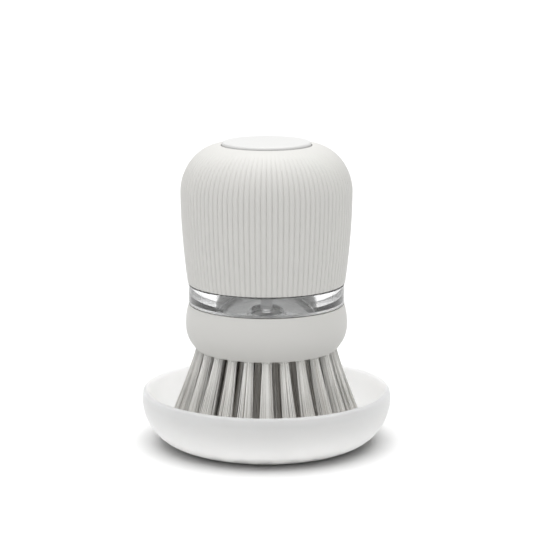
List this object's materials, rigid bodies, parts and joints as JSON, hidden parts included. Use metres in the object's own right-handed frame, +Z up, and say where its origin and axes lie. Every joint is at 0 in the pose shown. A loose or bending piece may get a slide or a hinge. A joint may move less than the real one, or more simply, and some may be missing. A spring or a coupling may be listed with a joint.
{
  "type": "soap dispensing dish brush",
  "caption": "Palm dish brush with a ribbed grip, push button and clear soap reservoir, standing on its splayed tufts in a round drip tray.",
  "frame": {"origin": "on the surface that the tray stands on, under the middle of the tray", "axes": "+Z up along the common axis of tray, brush and button"},
  "size_m": [0.0996, 0.0996, 0.1212],
  "materials": {
    "body_plastic": "satin warm white",
    "tray_plastic": "satin warm white",
    "bristle_nylon": "satin warm grey filament",
    "clear_plastic": "clear, polished",
    "valve_plastic": "satin grey",
    "seal_rubber": "matt grey silicone",
    "spring_steel": "drawn stainless wire"
  },
  "bodies": {
    "tray": {"tray": "tray_plastic"},
    "head": {"collar": "body_plastic", "tuft_plate": "tray_plastic", "bristles_front": "bristle_nylon", "bristles_right": "bristle_nylon", "bristles_back": "bristle_nylon", "bristles_left": "bristle_nylon"},
    "head_gasket": {"head_gasket": "seal_rubber"},
    "reservoir": {"reservoir": "clear_plastic", "valve_spring": "spring_steel"},
    "valve": {"valve_stem": "valve_plastic", "valve_plug": "seal_rubber"},
    "neck_gasket": {"neck_gasket": "seal_rubber"},
    "grip": {"grip": "body_plastic", "inner_cap": "body_plastic", "rod_seal": "seal_rubber", "vent_valve": "seal_rubber", "return_spring": "spring_steel"},
    "button": {"button": "body_plastic", "push_rod": "clear_plastic", "rod_clip": "spring_steel"}
  },
  "joints": [
    {"name": "brush_lift", "type": "slide", "parent": "tray", "child": "head", "axis": [0, 0, 1], "range_m": [0, 0.08]},
    {"name": "head_twist", "type": "hinge", "parent": "head", "child": "head_gasket", "pos_m": [0, 0, 0.0435], "axis": [0, 0, 1], "range_deg": [0, 90]},
    {"name": "head_release", "type": "slide", "parent": "head_gasket", "child": "reservoir", "axis": [0, 0, 1], "range_m": [0, 0.05]},
    {"name": "valve_open", "type": "slide", "parent": "reservoir", "child": "valve", "axis": [0, 0, -1], "range_m": [0, 0.003], "stiffness_N_per_m": 120, "springref_m": -0.003, "deforming": ["valve_spring"]},
    {"name": "grip_lift", "type": "slide", "parent": "reservoir", "child": "neck_gasket", "axis": [0, 0, 1], "range_m": [0, 0.06]},
    {"name": "grip_twist", "type": "hinge", "parent": "neck_gasket", "child": "grip", "pos_m": [0, 0, 0.0987], "axis": [0, 0, 1], "range_deg": [0, 360]},
    {"name": "button_press", "type": "slide", "parent": "grip", "child": "button", "axis": [0, 0, -1], "range_m": [0, 0.003], "stiffness_N_per_m": 500, "springref_m": -0.004, "deforming": ["return_spring"]}
  ],
  "couplings": [
    {"joint": "valve_open", "follows": "button_press", "ratio": 1}
  ]
}
